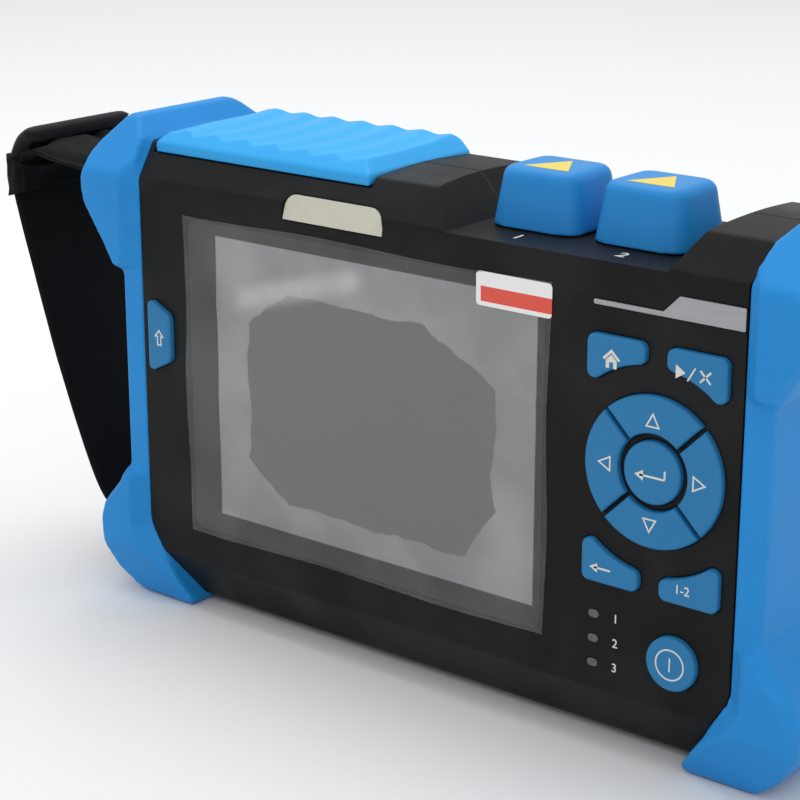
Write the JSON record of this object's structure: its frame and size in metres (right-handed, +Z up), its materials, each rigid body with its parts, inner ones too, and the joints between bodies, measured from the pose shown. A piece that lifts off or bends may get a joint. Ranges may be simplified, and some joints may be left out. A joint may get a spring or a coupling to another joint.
{
  "type": "optical time domain reflectometer",
  "caption": "Handheld fibre tester: black housing with blue corner guards, display, keypad, capped optical ports, ribbed socket cover, hand strap and kickstand.",
  "frame": {"origin": "middle of the overall length (with the strap) and depth, on the surface it stands on", "axes": "+X to the right as the display is read, +Y to the back, +Z up"},
  "size_m": [0.2916, 0.064, 0.1492],
  "materials": {
    "black_shell": "fine moulded texture",
    "blue_guard": "soft-touch",
    "blue_key": "satin silicone",
    "blue_cap": "soft-touch",
    "blue_cover": "satin",
    "seal_rubber": "matt",
    "cream_plate": "satin",
    "silver_trim": "brushed",
    "window": "polished",
    "film": "clear film",
    "tab_paper": "coated paper",
    "display": "semi-gloss",
    "steel": "plain",
    "dark_steel": "blackened",
    "ribbon": "polyimide",
    "grey_silicone": "matt",
    "circuit_board": "solder resist",
    "lens_plastic": "smoked",
    "led_white": "gloss",
    "battery_wrap": "wrapped",
    "module_case": "bead-blasted",
    "brass_case": "turned",
    "spool_plastic": "moulded",
    "fibre": "coated fibre",
    "nickel": "plated",
    "ceramic": "polished zirconia",
    "socket_black": "moulded",
    "strap_fabric": "woven nylon"
  },
  "bodies": {
    "housing": {"front_shell": "black_shell", "rear_shell": "black_shell", "housing_seal": "seal_rubber", "right_guard": "blue_guard", "left_guard": "blue_guard", "name_plate": "cream_plate", "trim_strip": "silver_trim", "display_window": "window", "window_film": "film", "film_tab": "tab_paper", "lcd_panel": "display", "display_bracket": "steel", "display_cable": "ribbon", "keypad_mat": "grey_silicone", "keypad_board": "circuit_board", "shift_board": "circuit_board", "key_domes": "steel", "indicator_lenses": "lens_plastic", "indicator_leds": "led_white", "main_board": "circuit_board", "board_screws": "steel", "speaker": "dark_steel", "battery_pack": "battery_wrap", "battery_door": "black_shell", "battery_door_screws": "dark_steel", "otdr_module": "module_case", "vfl_laser": "brass_case", "fibre_spool": "spool_plastic", "launch_fibre": "fibre", "otdr_adapter": "nickel", "vfl_adapter": "nickel", "ferrule_sleeves": "ceramic", "adapter_screws": "steel", "cap_pins": "steel", "port_cover_pins": "steel", "ethernet_socket": "socket_black", "usb_host_socket": "steel", "usb_device_socket": "steel", "power_socket": "socket_black", "kickstand_pins": "steel", "housing_screws": "dark_steel", "strap_pins": "steel", "hand_strap": "strap_fabric"},
    "port_cover": {"port_cover": "blue_cover"},
    "vfl_cap": {"vfl_cap": "blue_cap"},
    "otdr_cap": {"otdr_cap": "blue_cap"},
    "kickstand": {"kickstand": "black_shell"},
    "key_home": {"key_home": "blue_key"},
    "key_run_stop": {"key_run_stop": "blue_key"},
    "key_esc": {"key_esc": "blue_key"},
    "key_marker": {"key_marker": "blue_key"},
    "key_right": {"key_right": "blue_key"},
    "key_up": {"key_up": "blue_key"},
    "key_left": {"key_left": "blue_key"},
    "key_down": {"key_down": "blue_key"},
    "key_enter": {"key_enter": "blue_key"},
    "key_power": {"key_power": "blue_key"},
    "key_shift": {"key_shift": "blue_key"}
  },
  "joints": [
    {"name": "port_cover_hinge", "type": "hinge", "parent": "housing", "child": "port_cover", "pos_m": [-0.03961, 0.024, 0.1412], "axis": [-1, 0, 0], "range_deg": [0, 95]},
    {"name": "vfl_cap_hinge", "type": "hinge", "parent": "housing", "child": "vfl_cap", "pos_m": [0.04889, 0.01375, 0.1344], "axis": [-1, 0, 0], "range_deg": [0, 105]},
    {"name": "otdr_cap_hinge", "type": "hinge", "parent": "housing", "child": "otdr_cap", "pos_m": [0.08099, 0.01375, 0.1344], "axis": [-1, 0, 0], "range_deg": [0, 105]},
    {"name": "kickstand_hinge", "type": "hinge", "parent": "housing", "child": "kickstand", "pos_m": [0.02089, 0.0274, 0.113], "axis": [1, 0, 0], "range_deg": [0, 40]},
    {"name": "key_home_press", "type": "slide", "parent": "housing", "child": "key_home", "axis": [0, 1, 0], "range_m": [0, 0.001], "stiffness_N_per_m": 1500},
    {"name": "key_run_stop_press", "type": "slide", "parent": "housing", "child": "key_run_stop", "axis": [0, 1, 0], "range_m": [0, 0.001], "stiffness_N_per_m": 1500},
    {"name": "key_esc_press", "type": "slide", "parent": "housing", "child": "key_esc", "axis": [0, 1, 0], "range_m": [0, 0.001], "stiffness_N_per_m": 1500},
    {"name": "key_marker_press", "type": "slide", "parent": "housing", "child": "key_marker", "axis": [0, 1, 0], "range_m": [0, 0.001], "stiffness_N_per_m": 1500},
    {"name": "key_right_press", "type": "slide", "parent": "housing", "child": "key_right", "axis": [0, 1, 0], "range_m": [0, 0.001], "stiffness_N_per_m": 1500},
    {"name": "key_up_press", "type": "slide", "parent": "housing", "child": "key_up", "axis": [0, 1, 0], "range_m": [0, 0.001], "stiffness_N_per_m": 1500},
    {"name": "key_left_press", "type": "slide", "parent": "housing", "child": "key_left", "axis": [0, 1, 0], "range_m": [0, 0.001], "stiffness_N_per_m": 1500},
    {"name": "key_down_press", "type": "slide", "parent": "housing", "child": "key_down", "axis": [0, 1, 0], "range_m": [0, 0.001], "stiffness_N_per_m": 1500},
    {"name": "key_enter_press", "type": "slide", "parent": "housing", "child": "key_enter", "axis": [0, 1, 0], "range_m": [0, 0.001], "stiffness_N_per_m": 1500},
    {"name": "key_power_press", "type": "slide", "parent": "housing", "child": "key_power", "axis": [0, 1, 0], "range_m": [0, 0.001], "stiffness_N_per_m": 1500},
    {"name": "key_shift_press", "type": "slide", "parent": "housing", "child": "key_shift", "axis": [0, 1, 0], "range_m": [0, 0.001], "stiffness_N_per_m": 1500}
  ]
}
